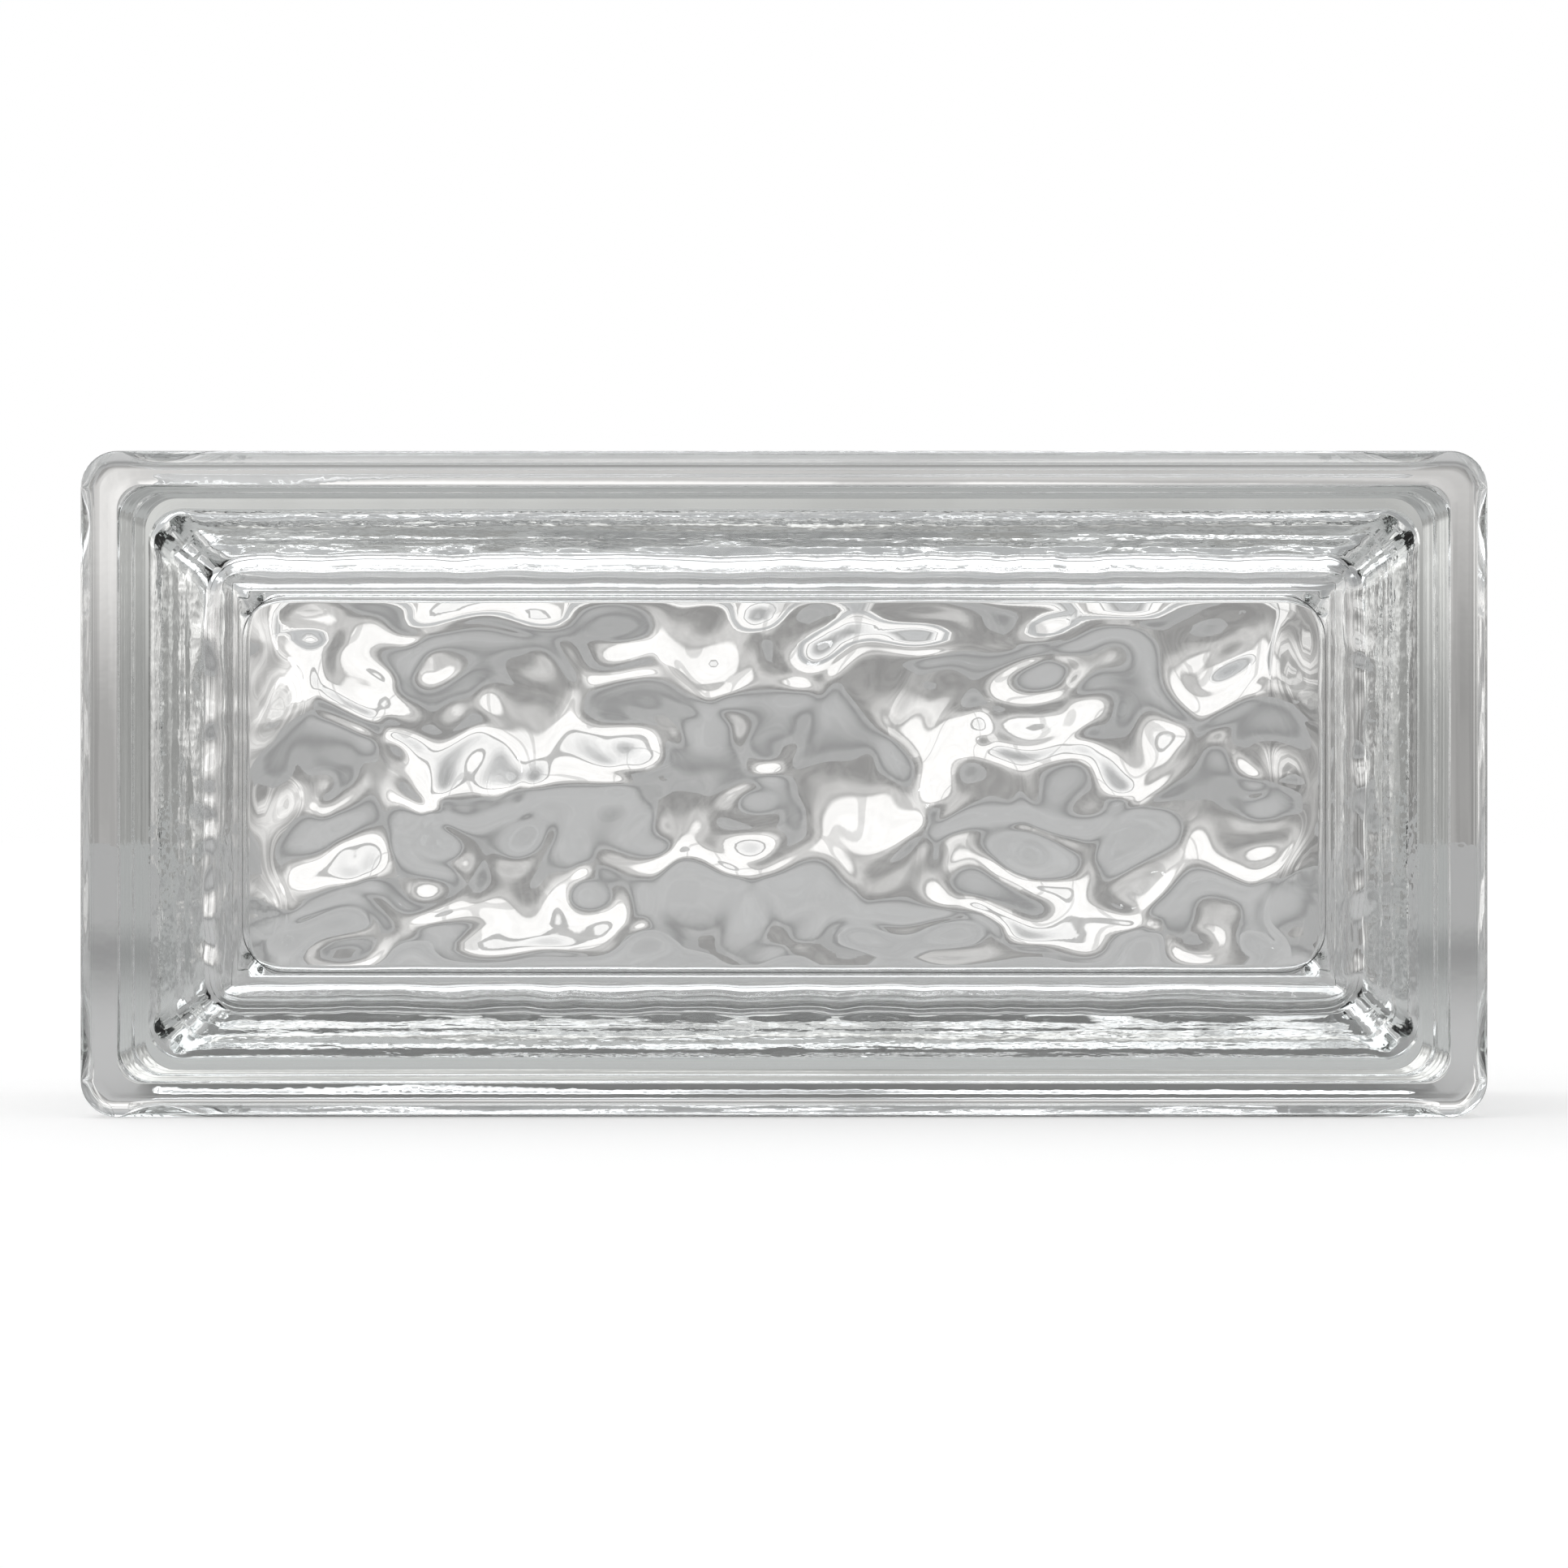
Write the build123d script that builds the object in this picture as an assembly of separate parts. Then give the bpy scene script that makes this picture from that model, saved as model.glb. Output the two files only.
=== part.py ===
from build123d import *
import os
from math import cos, exp, hypot, pi, radians, sin, tan

# Hollow glass block for a wall. Two pressed halves are fused along a seam, so it is one piece of
# glass round one sealed space. Millimetres, +Z up, standing on its long edge as it is laid in a wall.
# X runs along the length, Y through the thickness, and the origin is the middle of the underside.

# Outside of the block
length = 190.0
height = 90.0
thickness = 80.0
face_corner_radius = 5.0

# Rim round each face, and the mortar groove between the two rims
rim_width = 12.0
rim_edge_radius = 2.4
rim_shoulder_bevel = 1.6
groove_depth = 4.5
groove_corner_radius = 4.5

# Bead of glass squeezed out where the halves are fused
seam_bead_width = 6.0
seam_bead_height = 1.0
seam_bead_bevel = 0.6

# Sealed space: walls thicken from the seam to the faces and end in a rounded floor edge
seam_wall_inset = 7.0
side_draft_degrees = 14.3
end_draft_degrees = 18.3
face_thickness = 8.0
floor_edge_radius = 4.5
floor_corner_radius = 0.3

# Waved panel on the inside of each face, pressed in a little below the flat round it
panel_margin = 0.85
panel_corner_radius = 6.0
panel_step = 0.3
wave_fade = 6.0
point_pitch = 3.2
surface_tolerance = 0.03
cut_overrun = 3.0

# Waves that cross the panel: each follows a bent line, and both sides of the middle are alike
wave_length = 25.0
wave_height = 0.40
wave_bend = 2.0
bend_length = 41.0
middle_blend = 4.0

# One row for each wave: direction in degrees, length, height, and start as a share of its length
wave_shares = [
    (112.0, 0.90, 1.00, 0.20),
    (60.0, 1.05, 0.76, 0.80),
    (25.0, 0.90, 0.68, 0.00),
    (150.0, 1.05, 0.76, 0.40),
    (90.0, 1.80, 0.60, 0.50),
]

# One row for each long ridge: place across and up, half size along and beside it, turn in degrees.
# Places and half sizes are shares of half the panel's length and height; each row is mirrored.
ridge_height = 1.1
ridge_shares = [
    (0.405, 0.43, 0.23, 0.20, 20.0),
    (0.695, -0.32, 0.17, 0.19, 42.0),
]

# Sizes that follow from the ones above
half_thickness = thickness / 2
floor_level = half_thickness - face_thickness
wall_corner_radius = floor_edge_radius + floor_corner_radius


def panel_inset(draft_degrees):
    """How far in the panel starts: past the seam, the drafted wall, the rounded floor edge and a margin."""
    lean = radians(draft_degrees)
    wall_width = (floor_level - floor_edge_radius) * tan(lean) + floor_edge_radius / cos(lean)
    return seam_wall_inset + wall_width + panel_margin


panel_half_length = length / 2 - panel_inset(end_draft_degrees)
panel_half_height = height / 2 - panel_inset(side_draft_degrees)


def slab(outline, y_from, y_to):
    """Slab with an outline between two depths; the outline's own x runs along X and its own y along Z."""
    upright = Plane(origin=(0, y_to, height / 2), x_dir=(1, 0, 0), z_dir=(0, -1, 0))
    return extrude(upright * outline, amount=y_to - y_from)


def rounded_slab(inset, radius, y_from, y_to):
    """Slab between two depths with the block's rounded outline, made smaller by an inset."""
    outline = RectangleRounded(length - 2 * inset, height - 2 * inset, radius)
    return slab(outline, y_from, y_to)


def front_rim():
    """Rim round the front face: its outer edge is rounded and its groove side bevelled."""
    slab = rounded_slab(0, face_corner_radius, -half_thickness, -half_thickness + rim_width)
    slab = fillet(slab.faces().sort_by(Axis.Y)[0].edges(), rim_edge_radius)
    return chamfer(slab.faces().sort_by(Axis.Y)[-1].edges(), rim_shoulder_bevel)


def seam_bead():
    """Low bead that runs round the outside at the seam."""
    half_width = seam_bead_width / 2
    inset = groove_depth - seam_bead_height
    band = rounded_slab(inset, groove_corner_radius, -half_width, half_width)
    ends = band.faces().sort_by(Axis.Y)
    return chamfer(ends[0].edges() + ends[-1].edges(), seam_bead_bevel)


def outside():
    """Outside of the block: two rims on a narrower body, with the seam bead in the groove."""
    reach = half_thickness - rim_width / 2
    body = rounded_slab(groove_depth, groove_corner_radius, -reach, reach)
    return body + front_rim() + turned_over(front_rim()) + seam_bead()


def turned_over(shape):
    """Moves a shape of the front half to the back half by a half turn about the block's long axis."""
    return shape.rotate(Axis((0, 0, height / 2), (1, 0, 0)), 180)


def inside_panel(x, z):
    """Distance in from the panel's rounded outline, and zero outside it."""
    past_x = abs(x) - panel_half_length + panel_corner_radius
    past_z = abs(z) - panel_half_height + panel_corner_radius
    outer = hypot(max(past_x, 0), max(past_z, 0))
    return max(panel_corner_radius - outer - min(max(past_x, past_z), 0), 0)


def wave(x, z, row):
    """Height of one wave above or below the panel's level, as a share of the wave height."""
    degrees, length_share, height_share, start_share = row
    across = hypot(x, middle_blend)
    along = across * cos(radians(degrees)) + z * sin(radians(degrees))
    beside = across * sin(radians(degrees)) - z * cos(radians(degrees))
    along += wave_bend * sin(2 * pi * (beside / bend_length + start_share))
    return height_share * cos(2 * pi * (along / (length_share * wave_length) + start_share))


def ridge(x, z, row, side):
    """Height of one long ridge on one side of the middle, as a share of the ridge height."""
    place_x, place_z, long_share, wide_share, turn = row
    across = x - side * place_x * panel_half_length
    up = z - place_z * panel_half_height
    angle = radians(side * turn)
    along = (across * cos(angle) + up * sin(angle)) / (long_share * panel_half_length)
    beside = (up * cos(angle) - across * sin(angle)) / (wide_share * panel_half_height)
    return exp(-along * along - beside * beside)


def panel_rise(x, z):
    """How far the waved panel stands in towards the seam from its own level."""
    fade = min(inside_panel(x, z) / wave_fade, 1)
    waves = sum(wave(x, z, row) for row in wave_shares)
    ridges = sum(ridge(x, z, row, side) for row in ridge_shares for side in (-1, 1))
    return (wave_height * waves + ridge_height * ridges) * fade * fade * (3 - 2 * fade)


def spread(half_size):
    """Even places from one side to the other, about one pitch apart."""
    count = 2 * round(half_size / point_pitch)
    return [half_size * (2 * step / count - 1) for step in range(count + 1)]


def glass_behind_panel():
    """Everything behind the waved panel of the front face, to be left standing as glass."""
    points = []
    for x in spread(panel_half_length + cut_overrun):
        line = []
        for z in spread(panel_half_height + cut_overrun):
            line.append((x, panel_rise(x, z) - floor_level - panel_step, z + height / 2))
        points.append(line)
    waves = Face.make_surface_from_array_of_points(points, tol=surface_tolerance)
    return extrude(waves, amount=thickness, dir=(0, -1, 0))


def wall_plane(side_x, side_z):
    """Drafted plane of the inner wall on one side of the block, facing outwards."""
    reach_x = side_x * (length / 2 - seam_wall_inset)
    reach_z = side_z * (height / 2 - seam_wall_inset)
    lean = radians(end_draft_degrees if side_x else side_draft_degrees)
    outwards = (side_x * cos(lean), -sin(lean), side_z * cos(lean))
    return Plane(origin=(reach_x, 0, reach_z + height / 2), z_dir=outwards)


def front_space():
    """Space inside the front half: drafted walls, a rounded floor edge and the waved panel."""
    space = rounded_slab(0, face_corner_radius, -floor_level, 0)
    for side_x, side_z in ((1, 0), (-1, 0), (0, 1), (0, -1)):
        space = split(space, bisect_by=wall_plane(side_x, side_z), keep=Keep.BOTTOM)
    level_edges = space.edges().filter_by(Plane.XZ)
    space = fillet(space.edges() - level_edges, wall_corner_radius)
    space = fillet(space.faces().sort_by(Axis.Y)[0].edges(), floor_edge_radius)
    outline = RectangleRounded(2 * panel_half_length, 2 * panel_half_height, panel_corner_radius)
    panel = slab(outline, -floor_level - cut_overrun, -floor_level + cut_overrun)
    return space + panel - glass_behind_panel()


# Both halves come from one mould, so the back one is the front one turned over
front = front_space()
glass_block = outside() - front - turned_over(front)

os.makedirs("parts", exist_ok=True)
export_step(glass_block, "parts/glass_block.step")
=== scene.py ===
import math

import bpy
import numpy as np
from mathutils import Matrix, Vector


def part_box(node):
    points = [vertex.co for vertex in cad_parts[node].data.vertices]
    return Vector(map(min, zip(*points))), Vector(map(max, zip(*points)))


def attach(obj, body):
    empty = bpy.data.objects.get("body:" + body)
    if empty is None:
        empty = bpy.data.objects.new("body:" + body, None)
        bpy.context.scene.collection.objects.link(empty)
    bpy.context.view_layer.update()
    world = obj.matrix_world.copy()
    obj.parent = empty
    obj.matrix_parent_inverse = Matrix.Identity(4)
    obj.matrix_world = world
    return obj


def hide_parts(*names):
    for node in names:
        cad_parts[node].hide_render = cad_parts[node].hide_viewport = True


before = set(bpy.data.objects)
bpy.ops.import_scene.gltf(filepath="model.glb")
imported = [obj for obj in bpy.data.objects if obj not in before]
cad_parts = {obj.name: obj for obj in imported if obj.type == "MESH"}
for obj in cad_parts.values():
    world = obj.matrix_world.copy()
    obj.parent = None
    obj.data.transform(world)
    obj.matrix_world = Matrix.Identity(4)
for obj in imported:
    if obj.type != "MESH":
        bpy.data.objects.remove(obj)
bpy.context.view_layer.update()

# Outside of the block in metres, from the frame
lowest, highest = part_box("glass_block")
LENGTH, THICKNESS, HEIGHT = highest - lowest
HALF_LENGTH = LENGTH / 2
HALF_THICKNESS = THICKNESS / 2
HALF_HEIGHT = HEIGHT / 2

# Rims, groove and seam bead, as in the part's source
FACE_CORNER = 0.005
RIM_WIDTH = 0.012
RIM_EDGE = 0.0024
SHOULDER_BEVEL = 0.0016
GROOVE_DEPTH = 0.0045
GROOVE_CORNER = 0.0045
BEAD_WIDTH = 0.006
BEAD_HEIGHT = 0.001
BEAD_BEVEL = 0.0006

# Sealed space and its panels, as in the part's source
SEAM_INSET = 0.007
SIDE_DRAFT = math.radians(14.3)
END_DRAFT = math.radians(18.3)
FACE_THICKNESS = 0.008
FLOOR_EDGE = 0.0045
FLOOR_CORNER = 0.0003
PANEL_MARGIN = 0.00085
PANEL_CORNER = 0.006
PANEL_STEP = 0.0003
WAVE_FADE = 0.006
MIDDLE_BLEND = 0.004
FLOOR_LEVEL = HALF_THICKNESS - FACE_THICKNESS
WALL_CORNER = FLOOR_EDGE + FLOOR_CORNER

# Sizes of the relief: waves and ridges as in the part's source, then the fine marks that are only made here
RELIEF_SIZES = {
    "Middle Height": HALF_HEIGHT,
    "Wave Length": 0.025,
    "Wave Height": 0.00040,
    "Wave Bend": 0.002,
    "Bend Length": 0.041,
    "Ridge Height": 0.0011,
    "Ripple Height": 0.00019,
    "Flow Height": 0.00014,
    "Line Height": 0.00020,
    "Melt Height": 0.0010,
    "Weld Height": 0.0005,
}
WELD_REACH = 0.007

# Waves and fine ripples: direction in degrees, length, height, and start as a share of the length
WAVE_SHARES = [
    (112.0, 0.90, 1.00, 0.20),
    (60.0, 1.05, 0.76, 0.80),
    (25.0, 0.90, 0.68, 0.00),
    (150.0, 1.05, 0.76, 0.40),
    (90.0, 1.80, 0.60, 0.50),
]
RIPPLE_SHARES = [
    (97.0, 0.48, 1.00, 0.30),
    (38.0, 0.52, 0.95, 0.60),
    (142.0, 0.44, 0.90, 0.10),
]

# Long ridges: place across and up, half size along and beside, turn in degrees; each is mirrored
RIDGE_SHARES = [
    (0.405, 0.43, 0.23, 0.20, 20.0),
    (0.695, -0.32, 0.17, 0.19, 42.0),
]

# Noises on the walls: size, its mark, scales along and through the block, detail, distortion
WALL_MARKS = [
    ("Flow Height", "wall_share", 150.0, 150.0, 3.0, 2.0),
    ("Line Height", "line_share", 14.0, 300.0, 2.0, 0.3),
    ("Melt Height", "melt_share", 120.0, 60.0, 1.0, 0.6),
    ("Weld Height", "weld_share", 420.0, 420.0, 1.0, 2.0),
]

# Share of the draw lines on the rim, its shoulder and the groove
RIM_LINE_SHARE = 0.8
SHOULDER_LINE_SHARE = 0.3
GROOVE_LINE_SHARE = 1.0

# How fast the wall marks set in, and the melted look ends, from the floor edge to the seam
WALL_MARK_RISE = 5.0
MELT_FALL = 3.0

# Fineness of the glass mesh, and places of its rings on the face, the rim and the shoulder
PANEL_CELLS = (216, 84)
SIDE_CELLS = (64, 28)
CORNER_CELLS = 6
WALL_CELLS = 24
GROOVE_CELLS = 16
EDGE_CELLS = 8
BEVEL_CELLS = 4
FACE_RING_SHARE = 1.2
RIM_RING_SHARES = (0.1, 0.3, 0.5, 0.7, 0.9)
SHOULDER_RING_SHARES = (0.08, 0.5, 0.92)
PANEL_RING_SHARE = 1 / 3

# From here on, a row of four numbers that isn't a colour is one smooth change: where it starts and
# where it ends, then the value before it and the value after it.

# Finish of the glass
GLASS_IOR = 1.52
GLASS_TINT = (0.70, 0.93, 0.83, 1.0)
TINT_DENSITY = 1.4
MARK_DEPTH = 0.00006
FINE_MARK_SCALE = 700.0
FINE_MARK_DETAIL = 1.0
FINE_MARK_SHARE = 0.35
DULL_MARKS = (0.35, 0.75, 0.0, 0.05)
FEATHER_WAVES = {"Scale": 170.0, "Distortion": 9.0, "Detail": 1.0, "Detail Scale": 0.7}
FEATHER_SHARE = 0.08
PATCH_SCALE = 60.0
PATCH_DETAIL = 0.0
PATCH_EDGE = (0.30, 0.70, 0.5, 1.0)
LONG_WALL = (0.7, 0.9, 0.0, 1.0)

# Floor: how pale it is at distances from the block in metres, and what the camera sees added to it
PAPER_EDGE = (0.25, 0.85, 0.54, 0.315)
FAR_FLOOR = (0.80, 1.30, 0.0, 0.12)
FLOOR_TINT = (1.0, 0.988, 0.976)
CAMERA_WHITE = 1.01
CAMERA_WHITE_FALL = -0.94
FLOOR_REACH = 4.0
FLOOR_GAP = 0.0001

# Room that the glass shows: places are degrees above the horizon or beside the block, seen from the block
STRIP_TILT = (-15.0, 15.0, 1.3, -1.3)
ROOM_TONE = (3.0, 9.0, 0.39, 0.50)
ROOM_LEFT = (-16.0, -10.0, 1.06, 0.78)
ROOM_RIGHT = (10.0, 16.0, 0.0, -0.20)
STAIN_SCALE = 45.0
STAIN_DETAIL = 3.0
STAINS = (0.3, 0.7, 0.9, 1.1)
CEILING = (44.0, 54.0, 0.0, 0.9)
HAZE = (1.0, 3.0, 0.0, 0.15)
HAZE_END = (12.0, 18.0, 1.0, 0.3)

# Ring of soft boxes low round the room
BOX_PITCH = 15.0
BOX_SHIFT = 1.0
BOX_NEAR_EDGE = (6.6, 7.2, 0.0, 1.0)
BOX_FAR_EDGE = (13.0, 13.4, 0.50, 0.10)
BOX_TOP = (3.6, 4.0, 1.0, 0.0)
BOX_FOOT = (0.3, 3.0, 0.15, 1.0)
BOX_BALANCE = (-3.0, 3.0, 0.45, 0.55)

# Strips of light, each in degrees where it sets in, is full, starts to fade and ends, and its strength
HORIZON_STRIP = (0.5, 3.0, 3.6, 4.4, 0.14)
LIGHT_STRIPS = [
    (4.0, 4.8, 9.3, 9.6, 0.56),
    (10.2, 10.5, 10.5, 17.0, 0.50),
    (17.0, 17.5, 17.5, 32.0, 0.16),
]
WINDOW_STRIP = (33.0, 40.0, 52.0, 54.0, 2.6)
STRIP_BARS = (0.4, 0.7, 0.5, 1.0)
STRIP_GAPS = (14.3, 14.6, 1.0, 0.6)
STRIP_LEFT = (-60.0, -38.0, 0.4, 1.0)
STRIP_RIGHT = (18.0, 42.0, 1.0, 0.5)

# High window behind the block, with panes and clouds
WINDOW_BEHIND = (0.05, 0.10, 0.0, 1.0)
WINDOW_END = (8.0, 10.0, 1.0, 0.0)
PANE_PITCH = 5.0
PANES = (1.0, 1.6, 0.2, 1.0)
CLOUD_SCALE = 40.0
CLOUD_DETAIL = 2.0
CLOUDS = (0.48, 0.56, 0.12, 1.25)

# Small lamp in front on the left: direction, outer and inner edge in degrees, strength
LAMP_DIRECTION = (-0.383, -0.663, 0.643)
LAMP_EDGE = (2.0, 1.4)
LAMP_STRENGTH = 40.0

# Colour of the light near the floor and higher up
HUE_RISE = (2.0, 30.0, 0.0, 1.0)
LOW_HUE = (1.0, 0.985, 0.97, 1.0)
HIGH_HUE = (0.97, 0.985, 1.0, 1.0)
WHITE = (1.0, 1.0, 1.0, 1.0)

# Camera: metres in front of the front face, and width of the picture and of the block in it in pixels
CAMERA_DISTANCE = 0.865
SENSOR_WIDTH = 36.0
PICTURE_PIXELS = 1932
BLOCK_PIXELS = 1738

# Bounces of light in the glass
GLASS_BOUNCES = 16
GLOSSY_BOUNCES = 8


class Nodes:
    """Short way to add and link nodes in one tree."""

    def __init__(self, tree):
        self.tree = tree

    def add(self, kind, **settings):
        node = self.tree.nodes.new(kind)
        for name, value in settings.items():
            setattr(node, name, value)
        return node

    def put(self, socket, value):
        """Links a socket to another one, or gives it a plain value."""
        if isinstance(value, bpy.types.NodeSocket):
            self.tree.links.new(value, socket)
        else:
            socket.default_value = value

    def put_all(self, node, values):
        for name, value in values.items():
            self.put(node.inputs[name], value)

    def math(self, operation, *values):
        node = self.add("ShaderNodeMath", operation=operation)
        for socket, value in zip(node.inputs, values):
            self.put(socket, value)
        return node.outputs[0]

    def chain(self, operation, terms):
        result = terms[0]
        for term in terms[1:]:
            result = self.math(operation, result, term)
        return result

    def total(self, *terms):
        return self.chain("ADD", terms)

    def product(self, *terms):
        return self.chain("MULTIPLY", terms)

    def vector(self, operation, *values):
        node = self.add("ShaderNodeVectorMath", operation=operation)
        for socket, value in zip(node.inputs, values):
            self.put(socket, value)
        return node

    def split(self, vector):
        node = self.add("ShaderNodeSeparateXYZ")
        self.put(node.inputs[0], vector)
        return node.outputs

    def noise(self, place, scale, detail, distortion=0.0):
        node = self.add("ShaderNodeTexNoise")
        self.put_all(node, {"Vector": place, "Scale": scale, "Detail": detail, "Distortion": distortion})
        return node.outputs[0]

    def step(self, value, low, high, start, end):
        """Smooth change from start to end while a value goes from low to high."""
        node = self.add("ShaderNodeMapRange", interpolation_type="SMOOTHSTEP")
        for socket, given in zip(node.inputs, (value, low, high, start, end)):
            self.put(socket, given)
        return node.outputs[0]

    def strip(self, value, rise, full, fade, end, strength):
        """Strip of light that sets in at one level and ends at a higher one."""
        lower_edge = self.step(value, rise, full, 0.0, 1.0)
        upper_edge = self.step(value, fade, end, strength, 0.0)
        return self.product(lower_edge, upper_edge)


# Glass shell as a plain mesh

class Shell:
    """Vertices and faces of the block, gathered ring by ring, with the marks that the relief needs."""

    MARKS = ("panel_side", "panel_fade", "wall_share", "line_share", "melt_share", "weld_share")

    def __init__(self):
        self.points = []
        self.faces = []
        self.marks = {name: [] for name in self.MARKS}

    def add(self, places, **marks):
        """Adds points with their marks, each one value for all or a list, and gives their numbers."""
        first = len(self.points)
        self.points.extend(places)
        for name, values in self.marks.items():
            given = marks.get(name, 0.0)
            values.extend(given if isinstance(given, list) else [given] * len(places))
        return list(range(first, first + len(places)))

    def bridge(self, ring_a, ring_b):
        """Adds a band of faces between two rings of as many points."""
        count = len(ring_a)
        for step in range(count):
            after = (step + 1) % count
            self.faces.append((ring_a[step], ring_a[after], ring_b[after], ring_b[step]))


def floor_inset(draft, turn):
    """Inset of the rounded floor edge on a drafted wall, at a share of its turn from floor to wall."""
    middle = SEAM_INSET + (FLOOR_LEVEL - FLOOR_EDGE) * math.tan(draft) + FLOOR_EDGE / math.cos(draft)
    return middle - FLOOR_EDGE * math.sin(turn * (math.pi / 2 - draft))


def floor_depth(draft, turn):
    """Depth of the same place of the rounded floor edge."""
    return FLOOR_LEVEL - FLOOR_EDGE * (1 - math.cos(turn * (math.pi / 2 - draft)))


PANEL_HALF_LENGTH = HALF_LENGTH - floor_inset(END_DRAFT, 0.0) - PANEL_MARGIN
PANEL_HALF_HEIGHT = HALF_HEIGHT - floor_inset(SIDE_DRAFT, 0.0) - PANEL_MARGIN


def cell_lines(half_size, radius, cells):
    """Grid lines with a set number of cells in each rounded corner."""
    straight = np.linspace(-(half_size - radius), half_size - radius, cells - 2 * CORNER_CELLS + 1)
    corner = radius * np.arange(1, CORNER_CELLS + 1) / CORNER_CELLS
    return np.concatenate((-(half_size - radius) - corner[::-1], straight, half_size - radius + corner))


def rounded_grid(half_length, half_height, radius, cells):
    """Rectangular grid whose corners are pulled in to a rounded outline."""
    x, z = np.meshgrid(cell_lines(half_length, radius, cells[0]),
                       cell_lines(half_height, radius, cells[1]), indexing="ij")
    across = np.clip((np.abs(x) - half_length + radius) / radius, 0, 1)
    up = np.clip((np.abs(z) - half_height + radius) / radius, 0, 1)
    round_x = x - np.sign(x) * radius * across * (1 - np.sqrt(1 - up ** 2 / 2))
    round_z = z - np.sign(z) * radius * up * (1 - np.sqrt(1 - across ** 2 / 2))
    return round_x, round_z


def border(grid):
    """Border of a grid as one closed ring, anticlockwise seen from the front."""
    return np.concatenate((grid[:-1, 0], grid[-1, :-1], grid[:0:-1, -1], grid[0, :0:-1]))


def ring_places(half_length, half_height, radius, y, cells):
    """Rounded outline with half sizes and a corner radius, at a depth."""
    x, z = rounded_grid(half_length, half_height, radius, cells)
    x, z = border(x), border(z)
    return np.stack((x, np.full(len(x), y), z + HALF_HEIGHT), axis=-1)


def quarter_turn(cells):
    """Sines and cosines along a quarter of a turn."""
    angles = np.linspace(0, math.pi / 2, cells + 1)
    return list(zip(np.sin(angles).tolist(), np.cos(angles).tolist()))


def rim_profile():
    """Insets, depths, corner radii and draw-line shares from the front face round to the seam bead."""
    face = -HALF_THICKNESS
    shoulder = face + RIM_WIDTH
    bead = -BEAD_WIDTH / 2
    bead_foot = GROOVE_DEPTH - BEAD_HEIGHT + BEAD_BEVEL
    rows = [(FACE_RING_SHARE * RIM_EDGE, face, FACE_CORNER - RIM_EDGE, 0.0)]
    for sine, cosine in quarter_turn(EDGE_CELLS):
        inset = RIM_EDGE * (1 - sine)
        rows.append((inset, face + RIM_EDGE * (1 - cosine), FACE_CORNER - inset, 0.0))
    for share in RIM_RING_SHARES:
        depth = face + RIM_EDGE + share * (RIM_WIDTH - RIM_EDGE - SHOULDER_BEVEL)
        rows.append((0.0, depth, FACE_CORNER, RIM_LINE_SHARE))
    for sine, cosine in quarter_turn(BEVEL_CELLS):
        inset = SHOULDER_BEVEL * (1 - cosine)
        depth = shoulder - SHOULDER_BEVEL * (1 - sine)
        rows.append((inset, depth, FACE_CORNER - inset, SHOULDER_LINE_SHARE))
    for share in SHOULDER_RING_SHARES:
        inset = SHOULDER_BEVEL + share * (GROOVE_DEPTH - SHOULDER_BEVEL)
        rows.append((inset, shoulder, FACE_CORNER - SHOULDER_BEVEL, SHOULDER_LINE_SHARE))
    for step in range(GROOVE_CELLS + 1):
        depth = shoulder + step / GROOVE_CELLS * (bead - shoulder)
        rows.append((GROOVE_DEPTH, depth, GROOVE_CORNER, GROOVE_LINE_SHARE))
    for sine, cosine in quarter_turn(BEVEL_CELLS):
        depth = bead + BEAD_BEVEL * (1 - cosine)
        rows.append((bead_foot - BEAD_BEVEL * sine, depth, GROOVE_CORNER, GROOVE_LINE_SHARE))
    return rows


def outside(shell):
    """Both faces, the rims and the mortar groove."""
    front = rim_profile()
    back = [(inset, -depth, radius, line) for inset, depth, radius, line in reversed(front)]
    rings = []
    for inset, depth, radius, line in front + back:
        places = ring_places(HALF_LENGTH - inset, HALF_HEIGHT - inset, radius, depth, SIDE_CELLS)
        rings.append(shell.add(places.tolist(), line_share=line))
    for ring, following in zip(rings, rings[1:]):
        shell.bridge(following, ring)
    shell.faces.append(tuple(rings[0]))
    shell.faces.append(tuple(reversed(rings[-1])))


def hollow_profile():
    """Half lengths, half heights, depths, corner radii, wall and melt shares from the panel to the seam."""
    lip = PANEL_RING_SHARE * PANEL_STEP
    rows = [(PANEL_HALF_LENGTH + lip, PANEL_HALF_HEIGHT + lip, FLOOR_LEVEL, PANEL_CORNER, 0.0, 0.0)]
    for step in range(EDGE_CELLS + 1):
        turn = step / EDGE_CELLS
        half_length = HALF_LENGTH - floor_inset(END_DRAFT, turn)
        half_height = HALF_HEIGHT - floor_inset(SIDE_DRAFT, turn)
        depth = (floor_depth(END_DRAFT, turn) + floor_depth(SIDE_DRAFT, turn)) / 2
        rise = math.sin(turn * math.pi / 2)
        rows.append((half_length, half_height, depth, FLOOR_CORNER + FLOOR_EDGE * rise, 0.0, rise * rise))
    wall_end = depth
    for step in range(1, WALL_CELLS + 1):
        share = step / WALL_CELLS
        depth = wall_end * (1 - share)
        half_length = HALF_LENGTH - SEAM_INSET - depth * math.tan(END_DRAFT)
        half_height = HALF_HEIGHT - SEAM_INSET - depth * math.tan(SIDE_DRAFT)
        wall = min(1.0, WALL_MARK_RISE * share)
        melt = max(0.0, 1 - MELT_FALL * share)
        rows.append((half_length, half_height, depth, WALL_CORNER, wall, melt))
    return rows


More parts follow.
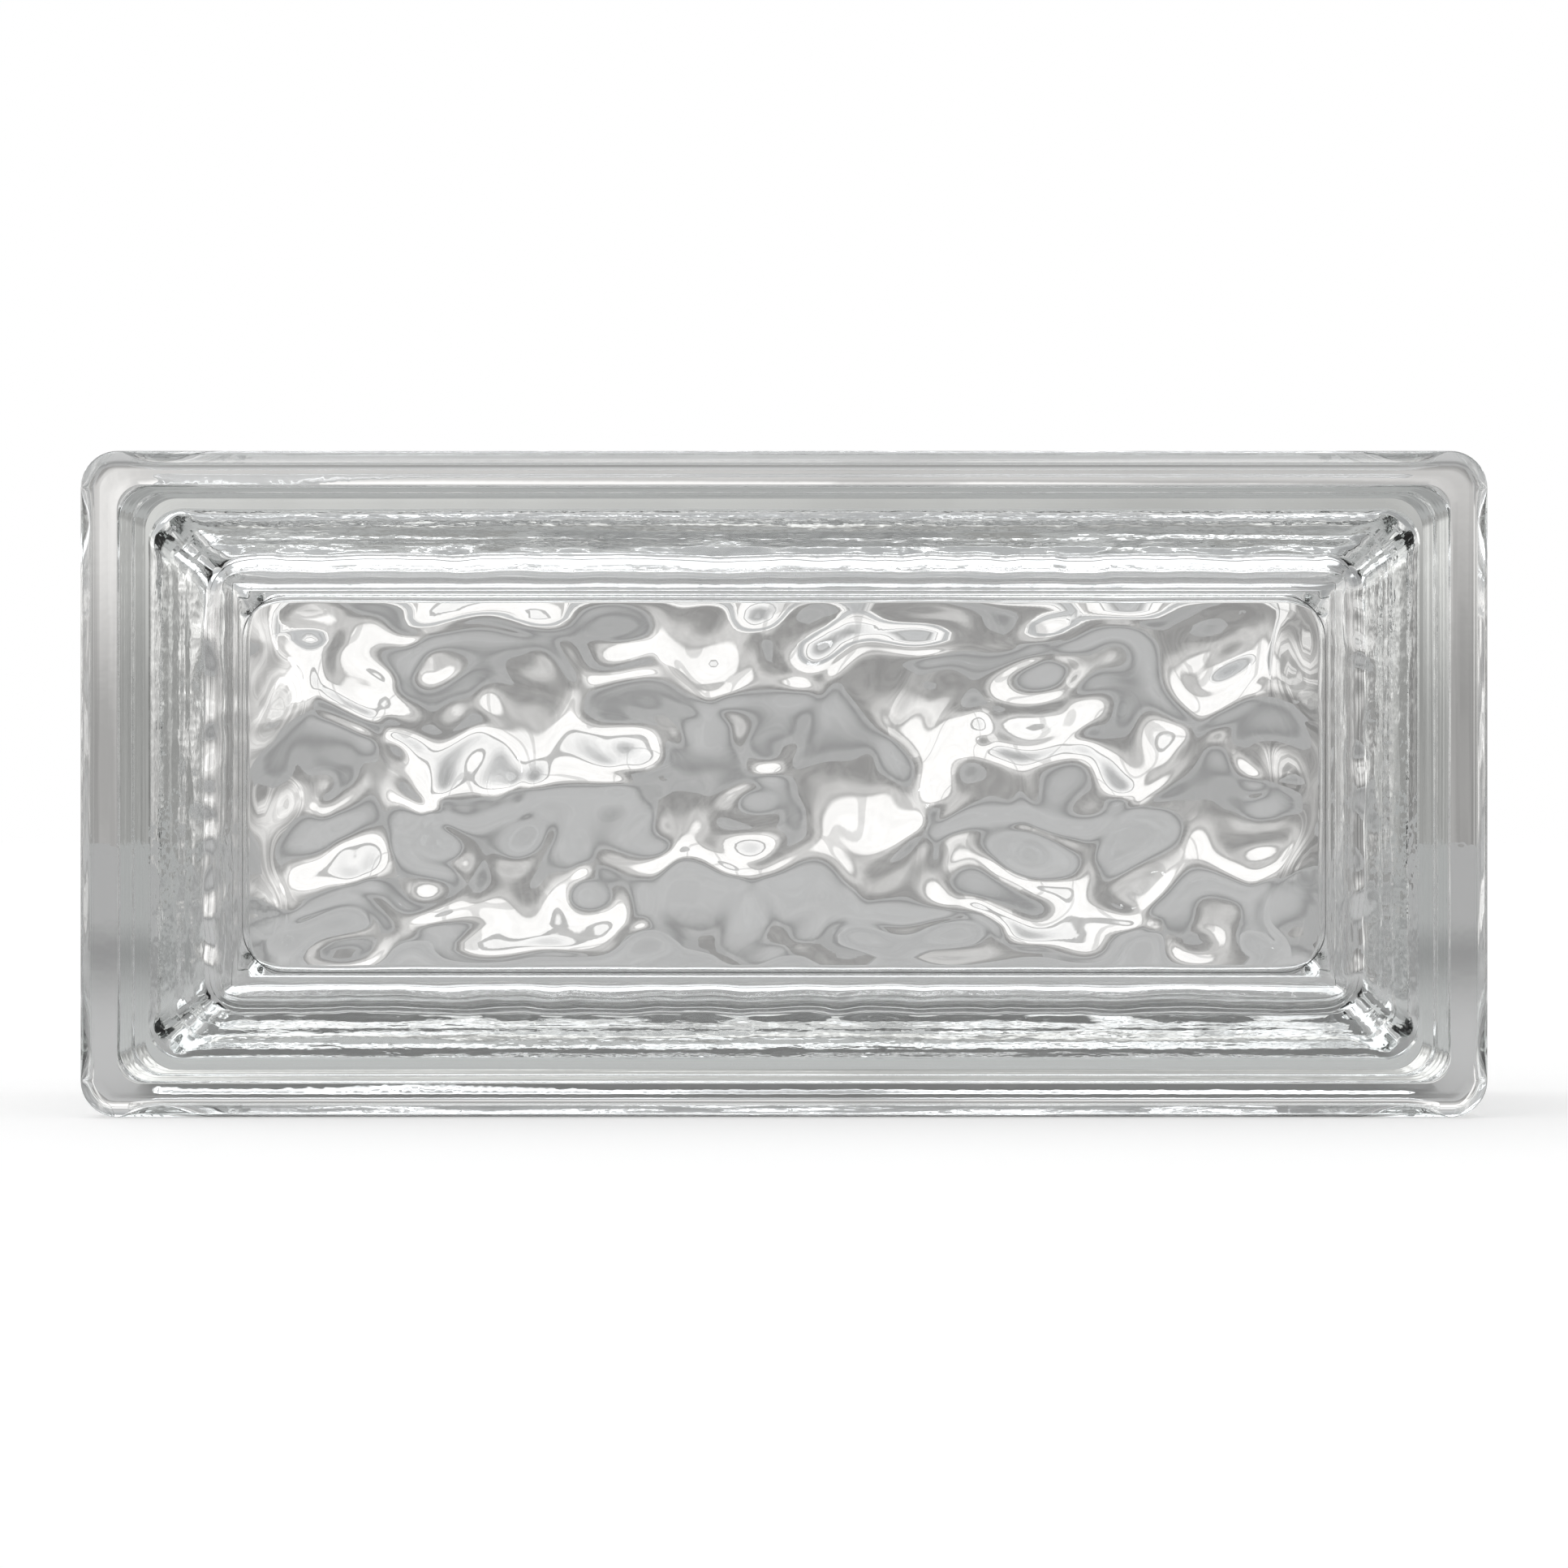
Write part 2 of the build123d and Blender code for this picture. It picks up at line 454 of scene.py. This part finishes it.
def panel_fade(x, z):
    """Share of the waves that is left near the panel's rounded outline."""
    past_x = np.abs(x) - PANEL_HALF_LENGTH + PANEL_CORNER
    past_z = np.abs(z) - PANEL_HALF_HEIGHT + PANEL_CORNER
    outer = np.hypot(np.maximum(past_x, 0), np.maximum(past_z, 0))
    reach = PANEL_CORNER - outer - np.minimum(np.maximum(past_x, past_z), 0)
    fade = np.clip(reach / WAVE_FADE, 0, 1)
    return fade * fade * (3 - 2 * fade)


def weld_shares(places):
    """How near each place is to one of the four corners of the seam, where the weld is lumpy."""
    away_x = HALF_LENGTH - SEAM_INSET - np.abs(places[:, 0])
    away_z = HALF_HEIGHT - SEAM_INSET - np.abs(places[:, 2] - HALF_HEIGHT)
    reach = np.sqrt(away_x ** 2 + away_z ** 2 + places[:, 1] ** 2)
    return np.clip(1 - reach / WELD_REACH, 0, 1)


def panel(shell, side):
    """Blank panel on one side of the sealed space; gives the ring of its outline."""
    x, z = rounded_grid(PANEL_HALF_LENGTH, PANEL_HALF_HEIGHT, PANEL_CORNER, PANEL_CELLS)
    depth = np.full(x.shape, side * (FLOOR_LEVEL + PANEL_STEP))
    places = np.stack((x, depth, z + HALF_HEIGHT), axis=-1).reshape(-1, 3)
    fade = panel_fade(x, z).ravel().tolist()
    index = np.array(shell.add(places.tolist(), panel_side=float(side), panel_fade=fade)).reshape(x.shape)
    low_left, low_right = index[:-1, :-1], index[1:, :-1]
    high_right, high_left = index[1:, 1:], index[:-1, 1:]
    corners = [low_left, low_right, high_right, high_left]
    if side < 0:
        corners = [low_left, high_left, high_right, low_right]
    shell.faces.extend(np.stack(corners, axis=-1).reshape(-1, 4).tolist())
    return border(index).tolist()


def inside(shell):
    """Sealed space: two panels and the drafted walls, whose ring at the seam serves both halves."""
    profile = hollow_profile()
    halves = []
    for side, rows in ((-1, profile), (1, profile[:-1])):
        rings = [panel(shell, side)]
        for half_length, half_height, depth, radius, wall, melt in rows:
            places = ring_places(half_length, half_height, radius, side * depth, PANEL_CELLS)
            weld = (weld_shares(places) * wall).tolist()
            rings.append(shell.add(places.tolist(), wall_share=wall, line_share=wall, melt_share=melt,
                                   weld_share=weld))
        halves.append(rings)
    rings = halves[0] + halves[1][::-1]
    for ring, following in zip(rings, rings[1:]):
        shell.bridge(ring, following)


def blank_glass():
    """Glass block with plain insides, as an object that the relief is pressed into."""
    shell = Shell()
    outside(shell)
    inside(shell)
    mesh = bpy.data.meshes.new("glass_blank")
    mesh.from_pydata(shell.points, [], shell.faces)
    for name, values in shell.marks.items():
        attribute = mesh.attributes.new(name, "FLOAT", "POINT")
        attribute.data.foreach_set("value", values)
    mesh.validate()
    blank = bpy.data.objects.new("glass_blank", mesh)
    bpy.context.collection.objects.link(blank)
    return blank


# Relief pressed into the inside of the glass

def named_inputs(group, names):
    """Adds a number input to a node group for each name."""
    for name in names:
        group.interface.new_socket(name, in_out="INPUT", socket_type="NodeSocketFloat")


def height_group(name, inputs):
    """Node group that works out a rise at a place across and up the panel; gives its nodes and inputs."""
    group = bpy.data.node_groups.new(name, "GeometryNodeTree")
    named_inputs(group, ("Across", "Up", "Turn", "Height") + inputs)
    group.interface.new_socket("Rise", in_out="OUTPUT", socket_type="NodeSocketFloat")
    nodes = Nodes(group)
    return nodes, nodes.add("NodeGroupInput").outputs


def turned(nodes, across, up, turn):
    """Places along and beside a direction."""
    cosine = nodes.math("COSINE", turn)
    sine = nodes.math("SINE", turn)
    along = nodes.math("MULTIPLY_ADD", across, cosine, nodes.product(up, sine))
    beside = nodes.math("SUBTRACT", nodes.product(across, sine), nodes.product(up, cosine))
    return along, beside


def wave_group():
    """Height of one bent wave."""
    nodes, given = height_group("panel_wave", ("Length", "Start", "Bend", "Bend Length"))
    along, beside = turned(nodes, given["Across"], given["Up"], given["Turn"])
    bend = nodes.total(nodes.math("DIVIDE", beside, given["Bend Length"]), given["Start"])
    bend = nodes.math("SINE", nodes.product(bend, math.tau))
    along = nodes.math("MULTIPLY_ADD", bend, given["Bend"], along)
    turns = nodes.total(nodes.math("DIVIDE", along, given["Length"]), given["Start"])
    wave = nodes.math("COSINE", nodes.product(turns, math.tau))
    out = nodes.add("NodeGroupOutput")
    nodes.put(out.inputs["Rise"], nodes.product(wave, given["Height"]))
    return nodes.tree


def ridge_group():
    """Height of one long ridge."""
    nodes, given = height_group("panel_ridge", ("Place Across", "Place Up", "Half Length", "Half Width"))
    across = nodes.math("SUBTRACT", given["Across"], given["Place Across"])
    up = nodes.math("SUBTRACT", given["Up"], given["Place Up"])
    along, beside = turned(nodes, across, up, given["Turn"])
    along = nodes.math("DIVIDE", along, given["Half Length"])
    beside = nodes.math("DIVIDE", beside, given["Half Width"])
    squares = nodes.math("MULTIPLY_ADD", along, along, nodes.product(beside, beside))
    bell = nodes.math("EXPONENT", nodes.product(squares, -1.0))
    out = nodes.add("NodeGroupOutput")
    nodes.put(out.inputs["Rise"], nodes.product(bell, given["Height"]))
    return nodes.tree


def rise_of(nodes, group, values):
    """Rise that a height group gives for its named values."""
    node = nodes.add("GeometryNodeGroup", node_tree=group)
    nodes.put_all(node, values)
    return node.outputs["Rise"]


def mark(nodes, name):
    """One of the marks that the shell carries."""
    node = nodes.add("GeometryNodeInputNamedAttribute", data_type="FLOAT")
    node.inputs["Name"].default_value = name
    return node.outputs["Attribute"]


def panel_relief(nodes, given, place):
    """Offset of the panels: mirrored waves and ridges with fine ripples, turned over on the back half."""
    parts = nodes.split(place)
    side = mark(nodes, "panel_side")
    up = nodes.product(nodes.math("SUBTRACT", parts["Z"], given["Middle Height"]), side, -1.0)
    across = parts["X"]
    mirrored = nodes.math("SQRT", nodes.math("MULTIPLY_ADD", across, across, MIDDLE_BLEND ** 2))
    wave = wave_group()
    terms = []
    for rows, height, reach in ((WAVE_SHARES, given["Wave Height"], mirrored),
                                (RIPPLE_SHARES, given["Ripple Height"], across)):
        for turn, long_share, high_share, start in rows:
            terms.append(rise_of(nodes, wave, {
                "Across": reach, "Up": up, "Turn": math.radians(turn), "Start": start,
                "Length": nodes.product(given["Wave Length"], long_share),
                "Height": nodes.product(height, high_share),
                "Bend": given["Wave Bend"], "Bend Length": given["Bend Length"]}))
    ridge = ridge_group()
    for place_across, place_up, long_share, wide_share, turn in RIDGE_SHARES:
        for hand in (-1, 1):
            terms.append(rise_of(nodes, ridge, {
                "Across": across, "Up": up, "Turn": math.radians(hand * turn),
                "Place Across": hand * place_across * PANEL_HALF_LENGTH,
                "Place Up": place_up * PANEL_HALF_HEIGHT,
                "Half Length": long_share * PANEL_HALF_LENGTH,
                "Half Width": wide_share * PANEL_HALF_HEIGHT, "Height": given["Ridge Height"]}))
    rise = nodes.product(nodes.total(*terms), mark(nodes, "panel_fade"))
    offset = nodes.add("ShaderNodeCombineXYZ")
    nodes.put(offset.inputs["Y"], nodes.product(rise, side, -1.0))
    return offset.outputs[0]


def wall_relief(nodes, given, place):
    """Offset of the walls into the glass: flow marks, draw lines, soft floor edges and weld lumps."""
    pushes = []
    for height, share, along, through, detail, distortion in WALL_MARKS:
        stretched = nodes.vector("MULTIPLY", place, (along, through, along)).outputs[0]
        lumps = nodes.noise(stretched, 1.0, detail, distortion)
        pushes.append(nodes.product(nodes.math("SUBTRACT", lumps, 1.0), given[height], mark(nodes, share)))
    push = nodes.vector("SCALE", nodes.add("GeometryNodeInputNormal").outputs[0])
    nodes.put(push.inputs["Scale"], nodes.total(*pushes))
    return push.outputs[0]


def relief_tree(material):
    """Presses the waves into both panels and the fine marks into the walls."""
    tree = bpy.data.node_groups.new("press_relief", "GeometryNodeTree")
    nodes = Nodes(tree)
    tree.interface.new_socket("Geometry", in_out="INPUT", socket_type="NodeSocketGeometry")
    named_inputs(tree, RELIEF_SIZES)
    tree.interface.new_socket("Geometry", in_out="OUTPUT", socket_type="NodeSocketGeometry")
    given = nodes.add("NodeGroupInput").outputs
    place = nodes.add("GeometryNodeInputPosition").outputs[0]
    offset = nodes.vector("ADD", panel_relief(nodes, given, place), wall_relief(nodes, given, place))
    glass = given["Geometry"]
    for kind, values in (("GeometryNodeSetPosition", {"Offset": offset.outputs[0]}),
                         ("GeometryNodeSetShadeSmooth", {}),
                         ("GeometryNodeRealizeInstances", {}),
                         ("GeometryNodeSetMaterial", {"Material": material})):
        node = nodes.add(kind)
        nodes.put_all(node, {"Geometry": glass, **values})
        glass = node.outputs[0]
    out = nodes.add("NodeGroupOutput")
    nodes.put(out.inputs[0], glass)
    return tree


def pressed_glass(material):
    """Glass block with its relief, as one plain mesh."""
    blank = blank_glass()
    press = blank.modifiers.new("press", "NODES")
    press.node_group = relief_tree(material)
    for item in press.node_group.interface.items_tree:
        if item.in_out == "INPUT" and item.name in RELIEF_SIZES:
            press[item.identifier] = RELIEF_SIZES[item.name]
    seen = blank.evaluated_get(bpy.context.evaluated_depsgraph_get())
    mesh = bpy.data.meshes.new_from_object(seen)
    mesh.name = "glass_block_pressed"
    block = bpy.data.objects.new("glass_block_pressed", mesh)
    bpy.context.collection.objects.link(block)
    bpy.data.objects.remove(blank)
    return block


# Materials and light

def new_material(name):
    """Empty material and its nodes."""
    material = bpy.data.materials.new(name)
    material.use_nodes = True
    material.node_tree.nodes.clear()
    return material, Nodes(material.node_tree)


def clear_glass():
    """Clear pressed glass: fire-polished, with feathery marks on the long walls and a faint green tint."""
    material, nodes = new_material("clear_glass")
    coordinates = nodes.add("ShaderNodeTexCoord")
    place = coordinates.outputs["Object"]
    facing = nodes.split(coordinates.outputs["Normal"])
    wall = nodes.add("ShaderNodeAttribute", attribute_name="wall_share").outputs["Fac"]
    line = nodes.add("ShaderNodeAttribute", attribute_name="line_share").outputs["Fac"]
    uneven = nodes.product(nodes.total(wall, line), 0.5)
    marks = nodes.noise(place, FINE_MARK_SCALE, FINE_MARK_DETAIL)
    feathers = nodes.add("ShaderNodeTexWave", wave_type="BANDS", bands_direction="X")
    nodes.put_all(feathers, {"Vector": place, **FEATHER_WAVES})
    patches = nodes.step(nodes.noise(place, PATCH_SCALE, PATCH_DETAIL), *PATCH_EDGE)
    long_wall = nodes.step(nodes.math("ABSOLUTE", facing["Z"]), *LONG_WALL)
    feathered = nodes.product(feathers.outputs["Fac"], patches, long_wall, wall, FEATHER_SHARE)
    bump = nodes.add("ShaderNodeBump")
    bump.inputs["Distance"].default_value = MARK_DEPTH
    nodes.put(bump.inputs["Height"], nodes.total(feathered, nodes.product(marks, uneven, FINE_MARK_SHARE)))
    glass = nodes.add("ShaderNodeBsdfPrincipled")
    glass.inputs["Base Color"].default_value = WHITE
    glass.inputs["Transmission Weight"].default_value = 1.0
    glass.inputs["IOR"].default_value = GLASS_IOR
    nodes.put(glass.inputs["Roughness"], nodes.product(nodes.step(marks, *DULL_MARKS), uneven))
    nodes.put(glass.inputs["Normal"], bump.outputs[0])
    tint = nodes.add("ShaderNodeVolumeAbsorption")
    tint.inputs["Color"].default_value = GLASS_TINT
    tint.inputs["Density"].default_value = TINT_DENSITY
    out = nodes.add("ShaderNodeOutputMaterial")
    nodes.put(out.inputs["Surface"], glass.outputs[0])
    nodes.put(out.inputs["Volume"], tint.outputs[0])
    return material


def floor_paper():
    """White paper under the block that runs out into a grey floor; the camera sees both as white."""
    material, nodes = new_material("pale_floor")
    place = nodes.add("ShaderNodeTexCoord").outputs["Object"]
    away = nodes.vector("LENGTH", place).outputs["Value"]
    pale = nodes.total(nodes.step(away, *PAPER_EDGE), nodes.step(away, *FAR_FLOOR))
    tinted = nodes.add("ShaderNodeCombineColor")
    for socket, share in zip(tinted.inputs, FLOOR_TINT):
        nodes.put(socket, nodes.product(pale, share))
    matt = nodes.add("ShaderNodeBsdfDiffuse")
    nodes.put(matt.inputs["Color"], tinted.outputs[0])
    seen = nodes.add("ShaderNodeLightPath").outputs["Is Camera Ray"]
    lift = nodes.math("MULTIPLY_ADD", pale, CAMERA_WHITE_FALL, CAMERA_WHITE)
    white = nodes.add("ShaderNodeEmission")
    nodes.put(white.inputs["Strength"], nodes.product(seen, lift))
    both = nodes.add("ShaderNodeAddShader")
    nodes.put(both.inputs[0], matt.outputs[0])
    nodes.put(both.inputs[1], white.outputs[0])
    out = nodes.add("ShaderNodeOutputMaterial")
    nodes.put(out.inputs["Surface"], both.outputs[0])
    return material


def pale_floor():
    """Wide floor just under the block."""
    mesh = bpy.data.meshes.new("floor")
    corners = [(-1, -1), (1, -1), (1, 1), (-1, 1)]
    mesh.from_pydata([(x * FLOOR_REACH, y * FLOOR_REACH, -FLOOR_GAP) for x, y in corners], [], [(0, 1, 2, 3)])
    mesh.materials.append(floor_paper())
    floor = bpy.data.objects.new("floor", mesh)
    bpy.context.collection.objects.link(floor)
    return floor


class Directions:
    """Where a ray leaves for the room, in degrees above the horizon and beside the block."""

    def __init__(self, nodes, place):
        parts = nodes.split(place)
        self.place = place
        self.behind = parts["Y"]
        self.level = nodes.product(nodes.math("ARCSINE", parts["Z"]), math.degrees(1.0))
        through = nodes.math("ABSOLUTE", parts["Y"])
        self.turn = nodes.product(nodes.math("ARCTAN2", parts["X"], through), math.degrees(1.0))
        self.tilted = nodes.total(self.level, nodes.step(self.turn, *STRIP_TILT))
        # Turn from the nearest gap in the ring of soft boxes
        self.gap = nodes.math("PINGPONG", nodes.math("SUBTRACT", self.turn, BOX_SHIFT), BOX_PITCH)


def grey_walls(nodes, way):
    """Grey walls with faint stains, darker straight ahead and on the right, and a pale ceiling."""
    off_axis = nodes.total(nodes.product(way.level, way.level), nodes.product(way.gap, way.gap))
    tone = nodes.step(nodes.math("SQRT", off_axis), *ROOM_TONE)
    sides = nodes.total(nodes.step(way.turn, *ROOM_LEFT), nodes.step(way.turn, *ROOM_RIGHT))
    stains = nodes.step(nodes.noise(way.place, STAIN_SCALE, STAIN_DETAIL), *STAINS)
    return nodes.total(nodes.product(tone, sides, stains), nodes.step(way.level, *CEILING))


def soft_boxes(nodes, way):
    """Ring of low soft boxes in a haze."""
    boxes = nodes.product(nodes.step(way.gap, *BOX_NEAR_EDGE), nodes.step(way.gap, *BOX_FAR_EDGE),
                          nodes.step(way.tilted, *BOX_TOP), nodes.step(way.level, *BOX_FOOT),
                          nodes.step(way.turn, *BOX_BALANCE))
    haze = nodes.product(nodes.step(way.tilted, *HAZE), nodes.step(way.level, *HAZE_END))
    return nodes.total(boxes, haze)


def light_strips(nodes, way):
    """Strips of light above the boxes, crossed by bars and weaker at the sides of the room."""
    strips = nodes.total(*(nodes.strip(way.tilted, *row) for row in LIGHT_STRIPS))
    strips = nodes.product(strips, nodes.step(way.gap, *STRIP_BARS), nodes.step(way.gap, *STRIP_GAPS),
                           nodes.step(way.turn, *STRIP_LEFT), nodes.step(way.turn, *STRIP_RIGHT))
    return nodes.total(nodes.strip(way.level, *HORIZON_STRIP), strips)


def clouded_window(nodes, way):
    """High window behind the block."""
    panes = nodes.math("PINGPONG", way.turn, PANE_PITCH)
    clouds = nodes.noise(way.place, CLOUD_SCALE, CLOUD_DETAIL)
    return nodes.product(nodes.strip(way.level, *WINDOW_STRIP), nodes.step(way.behind, *WINDOW_BEHIND),
                         nodes.step(way.turn, *WINDOW_END), nodes.step(panes, *PANES),
                         nodes.step(clouds, *CLOUDS))


def small_lamp(nodes, way):
    """Small bright lamp that gives the edges their sparks."""
    nearness = nodes.vector("DOT_PRODUCT", way.place, LAMP_DIRECTION).outputs["Value"]
    outer, inner = (math.cos(math.radians(degrees)) for degrees in LAMP_EDGE)
    return nodes.step(nearness, outer, inner, 0.0, LAMP_STRENGTH)


def studio():
    """White backdrop for the camera; the glass shows a grey room with soft boxes, strips and a window."""
    world = bpy.data.worlds.new("studio")
    bpy.context.scene.world = world
    world.use_nodes = True
    world.node_tree.nodes.clear()
    nodes = Nodes(world.node_tree)
    way = Directions(nodes, nodes.add("ShaderNodeTexCoord").outputs["Generated"])
    light = nodes.total(grey_walls(nodes, way), soft_boxes(nodes, way), light_strips(nodes, way),
                        clouded_window(nodes, way), small_lamp(nodes, way))
    # Sockets 6 and 7 of a mix are its two colours, and socket 2 gives the mixed colour
    hue = nodes.add("ShaderNodeMix", data_type="RGBA")
    nodes.put(hue.inputs[0], nodes.step(way.level, *HUE_RISE))
    hue.inputs[6].default_value = LOW_HUE
    hue.inputs[7].default_value = HIGH_HUE
    room = nodes.add("ShaderNodeBackground")
    nodes.put(room.inputs["Color"], hue.outputs[2])
    nodes.put(room.inputs["Strength"], light)
    backdrop = nodes.add("ShaderNodeBackground")
    backdrop.inputs["Color"].default_value = WHITE
    either = nodes.add("ShaderNodeMixShader")
    nodes.put(either.inputs[0], nodes.add("ShaderNodeLightPath").outputs["Is Camera Ray"])
    nodes.put(either.inputs[1], room.outputs[0])
    nodes.put(either.inputs[2], backdrop.outputs[0])
    out = nodes.add("ShaderNodeOutputWorld")
    nodes.put(out.inputs[0], either.outputs[0])


def camera():
    """Straight at the front face, with a long lens."""
    data = bpy.data.cameras.new("camera")
    picture_width = LENGTH * PICTURE_PIXELS / BLOCK_PIXELS
    data.sensor_width = SENSOR_WIDTH
    data.lens = SENSOR_WIDTH * CAMERA_DISTANCE / picture_width
    view = bpy.data.objects.new("camera", data)
    view.location = (0.0, -HALF_THICKNESS - CAMERA_DISTANCE, HALF_HEIGHT)
    view.rotation_euler = (math.pi / 2, 0, 0)
    bpy.context.collection.objects.link(view)
    bpy.context.scene.camera = view


glass = clear_glass()
block = pressed_glass(glass)
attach(block, "root")
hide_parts("glass_block")
floor = pale_floor()
studio()
camera()
scene = bpy.context.scene
scene.view_settings.view_transform = "Standard"
scene.cycles.max_bounces = GLASS_BOUNCES
scene.cycles.transmission_bounces = GLASS_BOUNCES
scene.cycles.glossy_bounces = GLOSSY_BOUNCES
